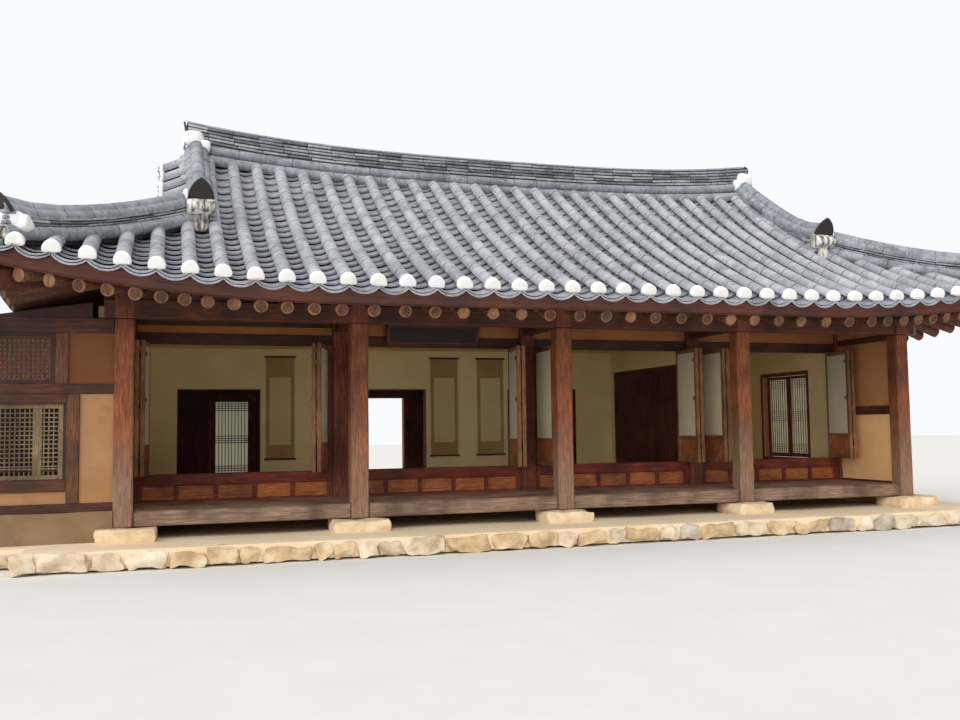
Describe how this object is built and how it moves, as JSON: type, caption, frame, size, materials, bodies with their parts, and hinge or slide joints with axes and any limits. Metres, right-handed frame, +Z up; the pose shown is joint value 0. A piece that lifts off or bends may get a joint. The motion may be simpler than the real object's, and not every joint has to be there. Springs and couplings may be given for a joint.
{
  "type": "hanok house",
  "caption": "Timber-framed hanok with an open veranda, lattice doors, plaster walls, a curved hip-and-gable tiled roof and a small lean-to annex",
  "frame": {"origin": "middle of the front column line, on the underside of the plinth", "axes": "X to the right along the front, Y from the front into the house, Z up"},
  "size_m": [13.66, 7.37, 5.3035],
  "materials": {
    "old_wood": "old dark timber, weathered",
    "pale_wood": "sun-bleached timber, worn",
    "plaster": "cream lime plaster, matt",
    "ochre_plaster": "ochre clay plaster, matt",
    "roof_tile": "grey unglazed fired clay, weathered",
    "granite": "granite and packed earth",
    "door_paper": "mulberry paper on wooden lattice",
    "dark_board": "black painted board in a brown frame"
  },
  "bodies": {
    "house": {"plinth": "granite", "front_purlin": "old_wood", "inner_frame": "old_wood", "veranda_floor": "pale_wood", "room_floor": "granite", "room_ceiling": "plaster", "back_wall": "plaster", "inner_back_wall": "plaster", "left_wall": "ochre_plaster", "right_wall": "ochre_plaster", "board_partition": "old_wood", "name_board": "dark_board", "front_column_1": "pale_wood", "front_column_2": "pale_wood", "front_column_3": "pale_wood", "front_column_4": "pale_wood", "front_column_5": "pale_wood", "folding_doors_1_left": "door_paper", "folding_doors_1_right": "door_paper", "folding_doors_2_left": "door_paper", "folding_doors_2_right": "door_paper", "folding_doors_3_left": "door_paper", "folding_doors_3_right": "door_paper", "folding_doors_4_left": "door_paper", "folding_doors_4_right": "door_paper", "roof_front": "roof_tile", "roof_back": "roof_tile", "roof_right_skirt": "roof_tile", "roof_left_skirt": "roof_tile", "main_ridge": "roof_tile", "front_right_ridge": "roof_tile", "front_left_ridge": "roof_tile", "back_right_ridge": "roof_tile", "back_left_ridge": "roof_tile", "annex_roof": "roof_tile", "front_eave": "old_wood", "back_eave": "old_wood", "right_eave": "old_wood", "left_eave": "old_wood", "right_gable": "old_wood", "left_gable": "old_wood", "annex_grille": "old_wood", "annex_front_wall": "ochre_plaster", "annex_rear_walls": "ochre_plaster", "annex_window": "pale_wood"},
    "back_door_leaf": {"back_door": "door_paper"},
    "side_door_front_leaf": {"side_door_front": "door_paper"},
    "side_door_rear_leaf": {"side_door_rear": "door_paper"}
  },
  "joints": [
    {"name": "back_door_hinge", "type": "hinge", "parent": "house", "child": "back_door_leaf", "pos_m": [-3.698, 4.989, 1.1], "axis": [0, 0, 1], "range_deg": [0, 95]},
    {"name": "side_door_front_hinge", "type": "hinge", "parent": "house", "child": "side_door_front_leaf", "pos_m": [4.839, 1.87, 1.4], "axis": [0, 0, -1], "range_deg": [0, 95]},
    {"name": "side_door_rear_hinge", "type": "hinge", "parent": "house", "child": "side_door_rear_leaf", "pos_m": [4.839, 2.947, 1.4], "axis": [0, 0, 1], "range_deg": [0, 95]}
  ]
}
